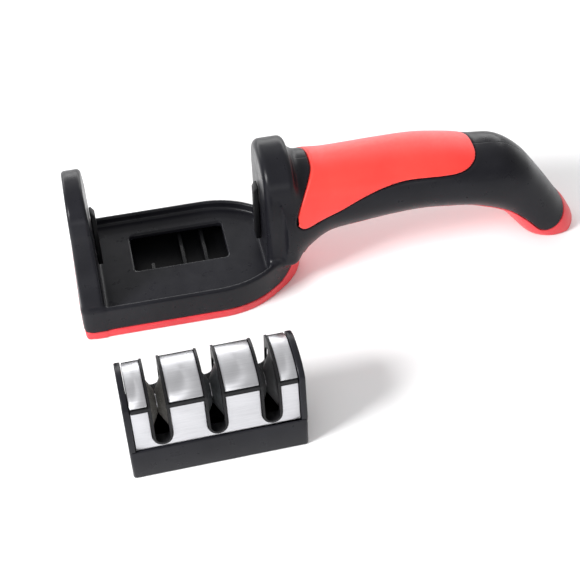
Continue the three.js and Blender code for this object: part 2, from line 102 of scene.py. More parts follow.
GRIP_OUTLINE = [
    (57.2, 70), (57.2, 64), (57, 56.4), (54.4, 52.8), (52, 49.2), (49.3, 44.1), (47.8, 39.4), (47.9, 36),
    (50.2, 33.6), (53.4, 33.9), (57.2, 35.5), (65.7, 38.9), (74.2, 43.2), (82.7, 46.2), (91.3, 47.8),
    (98, 48), (104, 47.6), (111.8, 46.8), (117, 46.6),
    (121, 47.1), (125, 48.4), (126.8, 50), (127.3, 54), (127.3, 64),
    (127.3, 70),
]
GRIP_THICK = 1.6
GRIP_PROUD = 0.25
GRIP_EDGE = 0.7
GRIP_GAP = 0.4

BASE_SCREWS = [(-36, -19), (-36, 19), (26, -17), (26, 17)]
HANDLE_SCREWS = [84, 116]
SCREW_HEAD = 2.6
SCREW_SHANK = 1.2

# cartridge, in its own frame
CARTRIDGE_PLACE = (-0.8, -87, 0)
CARTRIDGE_TURN = 1.2
HALF_LENGTH = 33.9
HALF_DEPTH = 15
BASE_TOP = 14.6
KINK_Y = 12.5
KINK_Z = 35.4
CREST_Z = 40
SHOULDER_BACK = 4
SLOTS = [-20.7, 0, 20.7]
STAGES = ["coarse", "medium", "fine"]
SLOT_WIDE = 5.6
METAL_GAP = 8
SLOT_FLOOR = 17.4
CHEEK_THICK = 2.4
STEEL_THICK = 0.8
BAND_TALL = 1.9
BAND_INSET = 0.2
FIN_PROUD = 0.9
TRAY_WALL = 2
GROOVE_WIDE = 6.2
GROOVE_DEEP = 2.1
GROOVE_TOP = 34.8
AXLE_Z = 24
AXLE_RADIUS = 1.6
SLEEVE_INNER = 2.1
SLEEVE_RADIUS = 3.1
WHEEL_BORE = 3.5
WHEEL_VALLEY = 4.4
WHEEL_RIM = 11
WHEEL_CONE = 4.0
WHEEL_LAND = 0.9
POCKET_RADIUS = 12.3
POCKET_HALF = 5.6
CHEEK_INNER = HALF_LENGTH - CHEEK_THICK
CORE_HALF = CHEEK_INNER - GAP
STEEL_SEAT = FIN_PROUD + STEEL_THICK + GAP

# ---- camera ----------------------------------------------------------------------------------------
CAMERA_AT = (-28.72, -420.71, 412.44)
CAMERA_TURN = 10.15        # degrees from straight ahead
CAMERA_TILT = 45.26        # degrees down
CAMERA_ROLL = 2.35
CAMERA_LENS = 84.45        # millimetres on a sensor 36 mm wide


# ---- curves ----------------------------------------------------------------------------------------
def smooth_rows(rows, per):
    """A smooth curve through every row, with per steps between two of them."""
    rows = np.array(rows, float)
    t = np.linspace(0, len(rows) - 1, (len(rows) - 1) * per + 1)
    i = np.minimum(t.astype(int), len(rows) - 2)
    w = (t - i)[:, None]
    padded = np.vstack([rows[:1], rows, rows[-1:]])
    p0, p1, p2, p3 = (padded[i + k] for k in range(4))
    v0, v1 = (p2 - p0) / 2, (p3 - p1) / 2
    return (2 * p1 - 2 * p2 + v0 + v1) * w**3 + (-3 * p1 + 3 * p2 - 2 * v0 - v1) * w**2 + v0 * w + p1


def bezier(points, steps):
    """Points along a Bezier curve of three or four control points."""
    p = np.array(points, float)
    t = np.linspace(0, 1, steps + 1)[:, None]
    while len(p) > 1:
        p = [a * (1 - t) + b * t for a, b in zip(p[:-1], p[1:])]
    return p[0]


def profile_of(points):
    """A curve given as (place, height) points, as a function of place and the cosine of its slope."""
    places, heights = np.array(points, float).T
    slopes = np.gradient(heights, places)
    cosines = 1 / np.sqrt(1 + slopes**2)

    def at(place):
        return np.interp(place, places, heights), np.interp(place, places, cosines)

    return at


# ---- distance fields -------------------------------------------------------------------------------
def cut_to(a, b, r):
    """What lies in both a and b, with the edge between them rounded to radius r."""
    return np.minimum(np.maximum(a, b), -r) + np.hypot(np.maximum(a + r, 0), np.maximum(b + r, 0))


def fused(a, b, r):
    """a and b joined, with a fillet of radius r where they meet."""
    return np.maximum(np.minimum(a, b), r) - np.hypot(np.maximum(r - a, 0), np.maximum(r - b, 0))


def without(a, b, r):
    return cut_to(a, -b, r)


class Map:
    """Values worked out once on a fine grid in x and z, and read back between its points."""

    def __init__(self, values, low, step):
        self.values, self.low, self.step = values, low, step

    def __call__(self, x, z):
        u = np.clip((x - self.low[0]) / self.step, 0, self.values.shape[0] - 1.001)
        v = np.clip((z - self.low[1]) / self.step, 0, self.values.shape[1] - 1.001)
        u, v = np.broadcast_arrays(u, v)
        i, j = u.astype(int), v.astype(int)
        u, v = (u - i)[..., None], (v - j)[..., None]
        t = self.values
        near = t[i, j] * (1 - u) + t[i + 1, j] * u
        far = t[i, j + 1] * (1 - u) + t[i + 1, j + 1] * u
        return np.moveaxis(near * (1 - v) + far * v, -1, 0)


MAP_LOW, MAP_HIGH, MAP_STEP = (28, -16), (184, 76), 0.4
map_x = np.arange(MAP_LOW[0], MAP_HIGH[0], MAP_STEP)
map_z = np.arange(MAP_LOW[1], MAP_HIGH[1], MAP_STEP)
map_x, map_z = np.meshgrid(map_x, map_z, indexing="ij")


def handle_map():
    """For each point of the side view: its height over the handle's centre line, the section's half width
    and half height there, and how far the point lies beyond the tail's last section."""
    rows = smooth_rows(HANDLE, 8)
    sin, cos = np.sin(np.radians(rows[:, 2])), np.cos(np.radians(rows[:, 2]))
    ahead = (map_x[..., None] - rows[:, 0]) * cos - (map_z[..., None] - rows[:, 1]) * sin
    k = np.clip((ahead >= 0).sum(-1) - 1, 0, len(rows) - 2)
    here = np.take_along_axis(ahead, k[..., None], -1)[..., 0]
    after = np.take_along_axis(ahead, k[..., None] + 1, -1)[..., 0]
    w = np.clip(here / (here - after), 0, 1)[..., None]
    row = rows[k] * (1 - w) + rows[k + 1] * w
    tip = np.radians(row[..., 2])
    lift = (map_x - row[..., 0]) * np.sin(tip) + (map_z - row[..., 1]) * np.cos(tip)
    beyond = np.maximum(ahead[..., -1], 0)
    return Map(np.stack([lift, row[..., 3], row[..., 4], beyond], -1), MAP_LOW, MAP_STEP)


def outline_map(points):
    """Signed distance from a closed outline in the side view, negative inside it."""
    a = np.array(points, float)
    b = np.roll(a, -1, 0)
    nearest = np.full(map_x.shape, 1e9)
    inside = np.zeros(map_x.shape, bool)
    for (x0, z0), (x1, z1) in zip(a, b):
        dx, dz = x1 - x0, z1 - z0
        if dx == 0 and dz == 0:
            continue
        t = np.clip(((map_x - x0) * dx + (map_z - z0) * dz) / (dx * dx + dz * dz), 0, 1)
        nearest = np.minimum(nearest, np.hypot(map_x - x0 - t * dx, map_z - z0 - t * dz))
        crossing = (z0 > map_z) != (z1 > map_z)
        if dz:
            inside ^= crossing & (map_x < x0 + (map_z - z0) * dx / dz)
    return Map(np.where(inside, -nearest, nearest)[..., None], MAP_LOW, MAP_STEP)


handle_at = handle_map()
grip_region = outline_map(smooth_rows(GRIP_OUTLINE, 5))
part_line = profile_of(np.vstack([[(-80, PART_LINE_Z)], smooth_rows(PART_LINE, 5)]))

plan_side = profile_of(np.vstack([
    [(-80, BASE_HALF)],
    bezier([(12, BASE_HALF), (25, BASE_HALF), (32.5, 24), (40.4, 17.4)], 24),
    bezier([(40.4, 17.4), (46.5, 12.4), (NOSE_X - 0.1, 6), (NOSE_X, 0)], 24)[1:],
    [(200, -150)],
]))
ear_side = {
    foot: profile_of(np.vstack([
        [(-20, foot)],
        bezier([(RIM_Z - 1, foot), (RIM_Z + 10, foot - 2), (EAR_SHOULDER - 14, EAR_HALF),
                (EAR_SHOULDER, EAR_HALF)], 24),
        [(100, EAR_HALF)],
    ]))
    for foot in (BLADE_FOOT, EAR_HALF)
}


def handle_field(x, y, z):
    lift, half_width, half_height, beyond = handle_at(x, z)
    n = HANDLE_SQUARENESS
    power = (np.abs(y / half_width) ** n + np.abs(lift / half_height) ** n + (beyond / TAIL_CAP) ** n)
    q = np.maximum(power, 1e-6) ** (1 / n)
    reach = np.sqrt(y * y + lift * lift + beyond * beyond)
    return reach - reach / q


def plan_field(x, y, z):
    """Sides of the base: negative inside."""
    narrowed = y / (1 - BASE_DRAFT * (1 - z / RIM_Z))
    half, cosine = plan_side(x)
    return cut_to((np.abs(narrowed) - half) * cosine, BLUNT_END - x, 4.0)


def ear_field(x, y, z, faces, foot, top, edge):
    half, cosine = ear_side[foot](z)
    sides = (np.abs(y) - half) * cosine
    rise = np.maximum(z - EAR_SHOULDER, 0)
    q = np.maximum((np.abs(y) / EAR_HALF) ** 2.38 + (rise / (top - EAR_SHOULDER)) ** 2.38, 1e-6) ** (1 / 2.38)
    reach = np.hypot(y, rise)
    arch = reach - reach / q
    flat = np.where(z > EAR_SHOULDER, arch, sides)
    x0, x1 = faces
    return cut_to(flat, np.abs(x - (x0 + x1) / 2) - (x1 - x0) / 2, edge)


def upright_field(x, y, z):
    """The free ear, and the other ear with the neck and handle."""
    outside = np.interp(z, (RIM_Z, EAR_TOP), (BLUNT_END, BLUNT_END + EAR_LEAN))
    inside = np.interp(z, (RAIL_TOP, EAR_TOP), (-CRADLE_HALF, -CRADLE_HALF - EAR_LEAN))
    blade = ear_field(x, y, z, (outside, inside), BLADE_FOOT, EAR_TOP, 1.5)
    head = ear_field(x, y, z, (CRADLE_HALF, HEAD_BACK), EAR_HALF, HEAD_TOP, 3.0)
    head = cut_to(head, DECK_Z - z, 2.0)
    handle = np.maximum(handle_field(x, y, z), HANDLE_START - x)
    return blade, fused(head, handle, 4.0)


def block_field(x, y, z):
    return cut_to(plan_field(x, y, z), z - RIM_Z, 1.1)


def opening_field(x, y, z):
    across = np.abs(x) - OPENING_HALF_X
    deep = np.abs(y - OPENING_Y) - OPENING_HALF_Y
    return cut_to(across, deep, 1.6)


def outer_field(x, y, z):
    """The whole body, with nothing hollowed out, above the table."""
    blade, neck = upright_field(x, y, z)
    d = fused(fused(block_field(x, y, z), blade, 1.2), neck, 2.2)
    return cut_to(d, -z, 0.4)


def black_field(x, y, z):
    block = block_field(x, y, z)
    plan = plan_field(x, y, z)
    recess = cut_to(cut_to(plan + RIM_WALL, DECK_Z - z, 1.3), np.maximum(-38 - x, x - 35.4), 1.0)
    block = without(block, recess, 0.7)
    block = without(block, cut_to(plan + SIDE_WALL, z - (DECK_Z - DECK_THICK), 0.6), 0.3)
    block = without(block, cut_to(opening_field(x, y, z), 6 - z, 0.3), 0.55)
    blade, neck = upright_field(x, y, z)
    d = fused(fused(block, blade, 2.0), neck, 2.2)
    line, cosine = part_line(x)
    d = cut_to(d, (line + GAP - z) * cosine, 0.35)
    tongue = np.maximum(np.maximum(plan + 1.9, -plan - SIDE_WALL),
                        np.maximum(TONGUE_Z - z, z - PART_LINE_Z - 1))
    d = np.minimum(d, np.maximum(tongue, x - CRADLE_HALF))
    groove = np.maximum(grip_region(x, z)[0] - GRIP_GAP, -handle_field(x, y, z) - GRIP_THICK - GAP)
    return without(d, groove, 0.45)


def red_field(x, y, z):
    line, cosine = part_line(x)
    d = cut_to(outer_field(x, y, z), (z - line) * cosine, 0.35)
    d = without(d, np.maximum(np.maximum(plan_field(x, y, z) + SIDE_WALL, FLOOR_THICK - z), x - 40), 0.3)
    inside = np.maximum(plan_field(x, y, z) + 1.5, TONGUE_Z - GAP - z)
    d = without(d, np.maximum(inside, x - CRADLE_HALF), 0.3)
    for sx, sy in BASE_SCREWS:
        d = without(d, np.hypot(x - sx, y - sy) - SCREW_HEAD - GAP, 0.3)
    for sx in HANDLE_SCREWS:
        d = without(d, np.hypot(x - sx, y) - SCREW_HEAD - GAP, 0.3)
    return d


def grip_field(x, y, z):
    handle = handle_field(x, y, z)
    d = cut_to(handle - GRIP_PROUD, grip_region(x, z)[0], GRIP_EDGE)
    return np.maximum(d, -handle - GRIP_THICK)


def surface(field, low, high, step):
    """The field's zero surface as quads between grid cells: points, faces and normals."""
    low, high = np.array(low, float), np.array(high, float)
    count = np.ceil((high - low) / step).astype(int) + 1
    axes = [low[i] + step * np.arange(count[i]) for i in range(3)]
    x, y, z = axes[0][:, None, None], axes[1][None, :, None], axes[2][None, None, :]
    value = np.asarray(np.broadcast_to(field(x, y, z), count), np.float32)
    solid = value < 0
    corners = [(a, b, c) for a in (0, 1) for b in (0, 1) for c in (0, 1)]
    inside = sum(
        solid[a:count[0] - 1 + a, b:count[1] - 1 + b, c:count[2] - 1 + c].astype(np.int8)
        for a, b, c in corners)
    cells = np.argwhere((inside > 0) & (inside < 8))
    number = np.full(count - 1, -1, np.int64)
    number[tuple(cells.T)] = np.arange(len(cells))
    total, hits = np.zeros((len(cells), 3)), np.zeros(len(cells))
    for corner in corners:
        for axis in range(3):
            if corner[axis]:
                continue
            other = list(corner)
            other[axis] = 1
            a, b = value[tuple((cells + corner).T)], value[tuple((cells + other).T)]
            crossed = (a < 0) != (b < 0)
            share = np.where(crossed, a / np.where(crossed, a - b, 1), 0)
            point = np.array(corner, float)[None, :] + share[:, None] * np.eye(3)[axis][None, :]
            total += np.where(crossed[:, None], point, 0)
            hits += crossed
    points = low + step * (cells + total / hits[:, None])
    faces = []
    for axis in range(3):
        first = [slice(None)] * 3
        second = [slice(None)] * 3
        first[axis], second[axis] = slice(None, -1), slice(1, None)
        crossed = solid[tuple(first)] != solid[tuple(second)]
        edges = np.argwhere(crossed)
        u, v = (axis + 1) % 3, (axis + 2) % 3
        inner_u = (edges[:, u] > 0) & (edges[:, u] < count[u] - 1)
        inner_v = (edges[:, v] > 0) & (edges[:, v] < count[v] - 1)
        edges = edges[inner_u & inner_v]
        starts_in = solid[tuple(edges.T)]
        ring = []
        for du, dv in ((1, 1), (0, 1), (0, 0), (1, 0)):
            cell = edges.copy()
            cell[:, u] -= du
            cell[:, v] -= dv
            ring.append(number[tuple(cell.T)])
        quad = np.stack(ring, 1)
        quad[starts_in] = quad[starts_in][:, ::-1]
        faces.append(quad[:, ::-1])
    faces = np.vstack(faces)

    def gradient(p, h):
        return np.stack([
            field(*(p + h * np.eye(3)[i]).T) - field(*(p - h * np.eye(3)[i]).T)
            for i in range(3)], 1) / (2 * h)

    for _ in range(3):
        slope = gradient(points, 0.08)
        size = np.maximum((slope**2).sum(1), 0.05)
        move = slope * (field(*points.T) / size)[:, None]
        length = np.linalg.norm(move, axis=1, keepdims=True)
        points = points - move * np.minimum(1, 0.5 * step / np.maximum(length, 1e-9))
    slope = gradient(points, 0.2)
    return points, faces, slope / np.maximum(np.linalg.norm(slope, axis=1, keepdims=True), 1e-9)


def field_piece(name, field, low, high, step):
    points, faces, normals = surface(field, low, high, step)
    mesh = bpy.data.meshes.new(name)
    mesh.vertices.add(len(points))
    mesh.vertices.foreach_set("co", (points * MM).astype(np.float32).ravel())
    mesh.loops.add(len(faces) * 4)
    mesh.loops.foreach_set("vertex_index", faces.astype(np.int32).ravel())
    mesh.polygons.add(len(faces))
    mesh.polygons.foreach_set("loop_start", np.arange(0, len(faces) * 4, 4, dtype=np.int32))
    mesh.update(calc_edges=True)
    mesh.validate()
    mesh.polygons.foreach_set("use_smooth", np.ones(len(mesh.polygons), bool))
    mesh.normals_split_custom_set_from_vertices(normals)
    piece = bpy.data.objects.new(name, mesh)
    bpy.context.collection.objects.link(piece)
    return piece


# ---- plates and turned parts -----------------------------------------------------------------------
def prism(sheets):
    """A mesh of closed prisms. Each is (outline points, place of its first end, place of its other end), and
    a place turns an outline point into (x, y, z)."""
    form = bmesh.new()
    for points, first, second in sheets:
        lower = [form.verts.new(first(*p)) for p in points]
        upper = [form.verts.new(second(*p)) for p in points]
        form.faces.new(lower)
        form.faces.new(upper[::-1])
        for i in range(len(points)):
            j = (i + 1) % len(points)
            form.faces.new((lower[i], upper[i], upper[j], lower[j]))
    bmesh.ops.recalc_face_normals(form, faces=form.faces[:])
    return form


def turned(profile, sides, axis="z"):
    """A closed profile of (radius, height) points turned round the axis."""
    form = bmesh.new()
    rings = []
    for i in range(sides):
        angle = 2 * math.pi * i / sides
        ring = []
        for radius, height in profile:
            u, v = radius * math.cos(angle), radius * math.sin(angle)
            ring.append(form.verts.new((u, v, height) if axis == "z" else (height, u, v)))
        rings.append(ring)
    for i in range(sides):
        here, there = rings[i], rings[(i + 1) % sides]
        for j in range(len(profile)):
            k = (j + 1) % len(profile)
            form.faces.new((here[j], there[j], there[k], here[k]))
    bmesh.ops.remove_doubles(form, verts=form.verts[:], dist=1e-5)
    bmesh.ops.dissolve_degenerate(form, edges=form.edges[:], dist=1e-6)
    bmesh.ops.recalc_face_normals(form, faces=form.faces[:])
    return form


def box_sheet(x0, x1, y0, y1, z0, z1):
    ring = [(x0, y0), (x1, y0), (x1, y1), (x0, y1)]
    return ring, lambda u, v: (u, v, z0), lambda u, v: (u, v, z1)


def end_sheet(points, x0, x1):
    """Drawn from the end as (y, z)."""
    return points, lambda y, z: (x0, y, z), lambda y, z: (x1, y, z)


def side_sheet(points, y0, y1):
    """Drawn from the front as (x, z)."""
    return points, lambda x, z: (x, y0, z), lambda x, z: (x, y1, z)


CARTRIDGE = (Matrix.Translation([c * MM for c in CARTRIDGE_PLACE])
             @ Matrix.Rotation(math.radians(CARTRIDGE_TURN), 4, "Z") @ Matrix.Scale(MM, 4))
TOOL = Matrix.Scale(MM, 4)


def loose(name, form):
    """A bmesh in millimetres as an object of its own."""
    mesh = bpy.data.meshes.new(name)
    form.to_mesh(mesh)
    form.free()
    piece = bpy.data.objects.new(name, mesh)
    bpy.context.collection.objects.link(piece)
    return piece


def settle(piece):
    """Modifiers are worked into the mesh."""
    bpy.context.view_layer.update()
    seen = piece.evaluated_get(bpy.context.evaluated_depsgraph_get())
    mesh = bpy.data.meshes.new_from_object(seen)
    piece.modifiers.clear()
    piece.data = mesh
    return piece


def combine(piece, other, operation):
    tool = loose("cutter", other)
    step = piece.modifiers.new("cut", "BOOLEAN")
    step.operation, step.solver, step.object = operation, "EXACT", tool
    settle(piece)
    bpy.data.objects.remove(tool)
    return piece


def finished(piece, place, edge=0.0, segments=2, angle=35):
    """Edges eased by edge, shading smooth up to the angle, then placed in the frame."""
    if edge:
        ease = piece.modifiers.new("ease", "BEVEL")
        ease.width, ease.segments, ease.limit_method = edge, segments, "ANGLE"
        ease.angle_limit = math.radians(30)
        ease.harden_normals = False
        settle(piece)
    piece.data.transform(place)
    piece.data.shade_smooth()
    piece.data.set_sharp_from_angle(angle=math.radians(angle))
    return piece


# ---- materials -------------------------------------------------------------------------------------
class Look:
    """A node material that varies over the surface: colour, roughness and bump from noise."""

    def __init__(self, name, metallic=0.0, specular=0.5, **sockets):
        self.material = bpy.data.materials.new(name)
        self.material.use_nodes = True
        self.nodes, self.links = self.material.node_tree.nodes, self.material.node_tree.links
        self.shader = self.nodes["Principled BSDF"]
        self.shader.inputs["Metallic"].default_value = metallic
        self.shader.inputs["Specular IOR Level"].default_value = specular
        for socket, value in sockets.items():
            self.shader.inputs[socket.replace("_", " ")].default_value = value
        self.place = self.nodes.new("ShaderNodeTexCoord").outputs["Object"]
        self.normal = None

    def stretched(self, scale):
        mapping = self.nodes.new("ShaderNodeMapping")
        mapping.inputs["Scale"].default_value = scale
        self.links.new(self.place, mapping.inputs["Vector"])
        return mapping.outputs["Vector"]

    def noise(self, scale, detail=3, stretch=None, roughness=0.55):
        node = self.nodes.new("ShaderNodeTexNoise")
        node.inputs["Scale"].default_value = scale
        node.inputs["Detail"].default_value = detail
        node.inputs["Roughness"].default_value = roughness
        self.links.new(self.stretched(stretch) if stretch else self.place, node.inputs["Vector"])
        return node.outputs["Fac"]

    def cells(self, scale, feature="F1"):
        node = self.nodes.new("ShaderNodeTexVoronoi")
        node.feature = feature
        node.inputs["Scale"].default_value = scale
        self.links.new(self.place, node.inputs["Vector"])
        return node.outputs["Distance"]

    def ramp(self, value, stops):
        node = self.nodes.new("ShaderNodeValToRGB")
        ends = node.color_ramp.elements
        while len(ends) < len(stops):
            ends.new(0.5)
        for end, (at, color) in zip(ends, stops):
            end.position, end.color = at, (*color, 1)
        self.links.new(value, node.inputs["Fac"])
        return node.outputs["Color"]

    def spread(self, value, low, high, start=0.3, end=0.7):
        node = self.nodes.new("ShaderNodeMapRange")
        node.inputs["From Min"].default_value, node.inputs["From Max"].default_value = start, end
        node.inputs["To Min"].default_value, node.inputs["To Max"].default_value = low, high
        self.links.new(value, node.inputs["Value"])
        return node.outputs["Result"]

    def color(self, value, dark, light, start=0.3, end=0.7):
        self.links.new(self.ramp(value, [(start, dark), (end, light)]), self.shader.inputs["Base Color"])

    def rough(self, value, low, high):
        self.links.new(self.spread(value, low, high), self.shader.inputs["Roughness"])

    def seam(self):
        """1 everywhere but on the mould's parting line, along the middle of the neck and handle."""
        split = self.nodes.new("ShaderNodeSeparateXYZ")
        self.links.new(self.place, split.inputs["Vector"])
        off = self.nodes.new("ShaderNodeMath")
        off.operation = "ABSOLUTE"
        self.links.new(split.outputs["Y"], off.inputs[0])
        line = self.spread(off.outputs[0], 0, 1, 0.00008, 0.0003)
        either = self.nodes.new("ShaderNodeMath")
        either.operation = "MAXIMUM"
        self.links.new(line, either.inputs[0])
        self.links.new(self.spread(split.outputs["X"], 1, 0, 0.050, 0.054), either.inputs[1])
        return either.outputs[0]

    def bump(self, value, strength, distance):
        node = self.nodes.new("ShaderNodeBump")
        node.inputs["Strength"].default_value = strength
        node.inputs["Distance"].default_value = distance
        self.links.new(value, node.inputs["Height"])
        if self.normal:
            self.links.new(self.normal, node.inputs["Normal"])
        self.normal = node.outputs["Normal"]
        self.links.new(self.normal, self.shader.inputs["Normal"])


def satin_black():
    look = Look("satin_black_plastic", specular=0.17)
    look.color(look.noise(55), (0.0075, 0.0075, 0.010), (0.012, 0.012, 0.0155))
    look.rough(look.noise(240, 4), 0.26, 0.36)
    look.bump(look.noise(5200, 2), 0.16, 0.00005)
    look.bump(look.noise(90, 2), 0.05, 0.0004)
    look.bump(look.seam(), 1.0, 0.00025)
    return look.material


# A black darker than the body's, for the pan under the opening, the rails and the cartridge core. The darker
# colour is painted shade for the recesses and slots they sit in.
def deep_black():
    look = Look("black_plastic_darkened_as_shade", specular=0.22)
    look.color(look.noise(70), (0.004, 0.004, 0.005), (0.007, 0.007, 0.008))
    look.rough(look.noise(300, 3), 0.38, 0.5)
    look.bump(look.noise(4200, 2), 0.2, 0.00005)
    return look.material


def coral_rubber():
    look = Look("coral_soft_rubber", specular=0.45, Sheen_Weight=0.35, Sheen_Roughness=0.45,
                Sheen_Tint=(1.0, 0.55, 0.62, 1))
    look.color(look.noise(60), (0.86, 0.036, 0.026), (0.95, 0.05, 0.036))
    look.rough(look.noise(500, 3), 0.42, 0.54)
    look.bump(look.noise(6500, 2), 0.22, 0.00006)
    look.bump(look.noise(120, 2), 0.05, 0.0004)
    return look.material


def red_plastic():
    look = Look("red_moulded_plastic", specular=0.5)
    look.color(look.noise(70), (0.70, 0.034, 0.045), (0.78, 0.044, 0.056))
    look.rough(look.noise(350, 3), 0.34, 0.44)
    look.bump(look.noise(5200, 2), 0.16, 0.00005)
    return look.material


def brushed_steel():
    look = Look("brushed_steel", metallic=1.0, Anisotropic=0.55)
    grain = look.noise(1.0, 4, stretch=(45, 5200, 5200), roughness=0.7)
    look.color(grain, (0.47, 0.47, 0.49), (0.64, 0.64, 0.66), 0.2, 0.8)
    look.rough(look.noise(1.0, 3, stretch=(60, 3600, 3600)), 0.32, 0.46)
    look.bump(grain, 0.25, 0.00003)
    return look.material


def turned_steel():
    look = Look("turned_steel", metallic=1.0)
    grain = look.noise(1.0, 3, stretch=(4000, 300, 300))
    look.color(grain, (0.40, 0.40, 0.42), (0.58, 0.58, 0.60))
    look.rough(look.noise(800, 3), 0.25, 0.4)
    look.bump(grain, 0.2, 0.00003)
    return look.material


def grit(name, dark, light, scale, depth, low, high, metallic=0.0):
    look = Look(name, metallic=metallic, specular=0.5)
    look.color(look.cells(scale), dark, light, 0.1, 0.8)
    look.rough(look.noise(scale / 2, 3), low, high)
    look.bump(look.cells(scale), 0.8, depth)
    return look.material


MATERIALS = {
    "black_plastic": satin_black(),
    # the darker black below paints shade on parts that sit in recesses and slots
    "deep_black": deep_black(),
    "red_rubber": coral_rubber(),
    "red_plastic": red_plastic(),
    "steel": brushed_steel(),
    "screw_steel": turned_steel(),
    "coarse_abrasive": grit(
        "coarse_diamond", (0.10, 0.095, 0.09), (0.34, 0.33, 0.31), 3000, 0.0001, 0.45, 0.7, 0.4),
    "medium_abrasive": grit(
        "medium_carbide", (0.06, 0.063, 0.068), (0.18, 0.19, 0.2), 4500, 0.00007, 0.4, 0.6, 0.5),
    "fine_abrasive": grit(
        "fine_ceramic", (0.045, 0.045, 0.047), (0.11, 0.11, 0.115), 6500, 0.00004, 0.5, 0.7),
}


def place(piece, body, slot, *nodes):
    """The piece gets its slot's material, rides on its body and stands for its nodes."""
    piece.data.materials.clear()
    piece.data.materials.append(MATERIALS[slot])
    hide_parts(*nodes)
    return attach(piece, body)


# ---- tool ------------------------------------------------------------------------------------------
BODY_STEP = 0.75
GRIP_STEP = 0.6
place(field_piece("moulded_body", black_field, (-47, -31, -1), (177, 31, 67), BODY_STEP),
      "handle_base", "black_plastic", "upper_shell")
place(field_piece("moulded_sole", red_field, (-47, -31, -1.2), (177, 31, 35), BODY_STEP),
      "handle_base", "red_plastic", "lower_shell")
place(field_piece("soft_grip", grip_field, (48, -19.5, 30), (134, 19.5, 63), GRIP_STEP),
      "handle_base", "red_rubber", "grip_inlay")

pan_inset = SIDE_WALL + GAP
pan_half = [(x, (plan_side(x)[0] - pan_inset) * (1 - BASE_DRAFT)) for x in np.linspace(12, 39, 16)]
pan_outline = ([(BLUNT_END + pan_inset + 3, -pan_half[0][1]), *[(x, -h) for x, h in pan_half],
                *[(x, h) for x, h in pan_half[::-1]], (BLUNT_END + pan_inset + 3, pan_half[0][1]),
                (BLUNT_END + pan_inset, pan_half[0][1] - 3), (BLUNT_END + pan_inset, 3 - pan_half[0][1])])
pan = loose("deck_pan", prism([
    (pan_outline, lambda x, y: (x, y, FLOOR_THICK + GAP), lambda x, y: (x, y, PAN_TOP)),
    *[box_sheet(x - RIB_THICK / 2, x + RIB_THICK / 2, OPENING_Y - OPENING_HALF_Y - 2, back,
                PAN_TOP - 0.05, RIB_TOP)
      for x, back in RIBS],
]))
place(finished(pan, TOOL, 0.35), "handle_base", "deep_black", "base_pan")

for side, name in ((-1, "left"), (1, "right")):
    back, front = side * (CRADLE_HALF - GAP), side * (CRADLE_HALF - GAP - RAIL_PROUD + GAP)
    lead = side * (CRADLE_HALF - 1.2)
    rail = loose(f"rail_{name}", prism([side_sheet(
        [(back, RAIL_FOOT), (front, RAIL_FOOT), (front, RAIL_TOP - 2.2), (lead, RAIL_TOP), (back, RAIL_TOP)],
        -RAIL_WIDE / 2, RAIL_WIDE / 2)]))
    place(finished(rail, TOOL, 0.55, 3), "handle_base", "deep_black", f"guide_rail_{name}")


def screw(name, x, y, z, length):
    profile = [(0, 0), (SCREW_HEAD - 0.3, 0), (SCREW_HEAD, 0.3), (SCREW_HEAD, 0.9), (SCREW_SHANK, 2.1),
               (SCREW_SHANK, length - 1), (0.2, length), (0, length)]
    head = loose(name, turned(profile, 40))
    combine(head, prism([box_sheet(-1.5, 1.5, -0.32, 0.32, -1, 0.8)]), "DIFFERENCE")
    combine(head, prism([box_sheet(-0.32, 0.32, -1.5, 1.5, -1, 0.8)]), "DIFFERENCE")
    return finished(head, TOOL @ Matrix.Translation((x, y, z)), 0)


for i, (x, y) in enumerate(BASE_SCREWS, 1):
    place(screw(f"sole_screw_{i}", x, y, 0.5, 8), "handle_base", "screw_steel", f"base_screw_{i}")
handle_rows = smooth_rows(HANDLE, 8)
for i, x in enumerate(HANDLE_SCREWS, 1):
    bottom = np.interp(x, handle_rows[:, 0], handle_rows[:, 1] - handle_rows[:, 4])
    place(screw(f"grip_screw_{i}", x, 0, bottom + 1.2, 14), "handle_base", "screw_steel", f"handle_screw_{i}")


# ---- cartridge -------------------------------------------------------------------------------------
def hood(inset, floor=BASE_TOP, low=None):
    """End view of the cartridge as (y, z), front foot over the crest to back foot, drawn in by inset."""
    lean = (HALF_DEPTH - KINK_Y) / (KINK_Z - BASE_TOP)
    foot = (HALF_DEPTH - lean * max(floor - BASE_TOP, 0) - inset, floor)
    arc = bezier([(KINK_Y - inset, KINK_Z), (KINK_Y - inset - SHOULDER_BACK, CREST_Z - inset),
                  (0, CREST_Z - inset)], 26)
    side = [foot, *[tuple(p) for p in arc]] if low is None else [tuple(p) for p in arc]
    return [(-y, z) for y, z in side] + [(y, z) for y, z in side[-2::-1]]


def slot_outline(x, half, floor, top=CREST_Z + 10, steps=16):
    """Slot seen from the front: straight sides and a round floor."""
    bowl = [(x - half * math.cos(math.pi * i / steps), floor + half - half * math.sin(math.pi * i / steps))
            for i in range(steps + 1)]
    return [(x - half, top), *bowl, (x + half, top)]


FIN_FLOOR = SLOT_FLOOR - (METAL_GAP - SLOT_WIDE) / 2 + GAP
FAR = HALF_DEPTH + 5


def roller(x0, x1, radius, sides=72):
    form = turned([(0, x0), (radius, x0), (radius, x1), (0, x1)], sides, "x")
    bmesh.ops.translate(form, verts=form.verts[:], vec=(0, 0, AXLE_Z))
    return form


